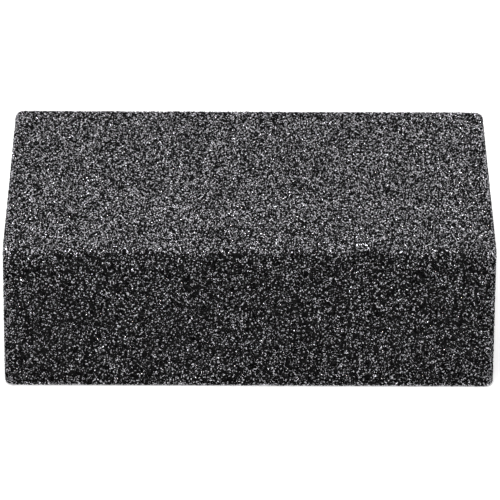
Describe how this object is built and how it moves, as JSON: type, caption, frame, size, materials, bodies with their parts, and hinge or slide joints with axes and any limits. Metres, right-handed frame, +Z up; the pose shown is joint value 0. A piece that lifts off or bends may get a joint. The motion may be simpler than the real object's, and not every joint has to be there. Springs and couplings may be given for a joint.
{
  "type": "sanding sponge",
  "caption": "Rectangular foam block with dark abrasive grit on its long faces, held in the hand to sand and smooth surfaces.",
  "frame": {"origin": "centre of the bottom face of the block's box", "axes": "+X along the block's length, +Y across its width from the front to the back, +Z up through its thickness"},
  "size_m": [0.098, 0.069, 0.0302],
  "materials": {
    "abrasive_coat": "black mineral grit in dark resin, coarse and glittering, with grains about 0.3 mm across",
    "bare_foam": "dark grey cut foam with fine open cells, matt"
  },
  "bodies": {
    "root": {"sanding_sponge": "abrasive_coat"}
  },
  "joints": []
}
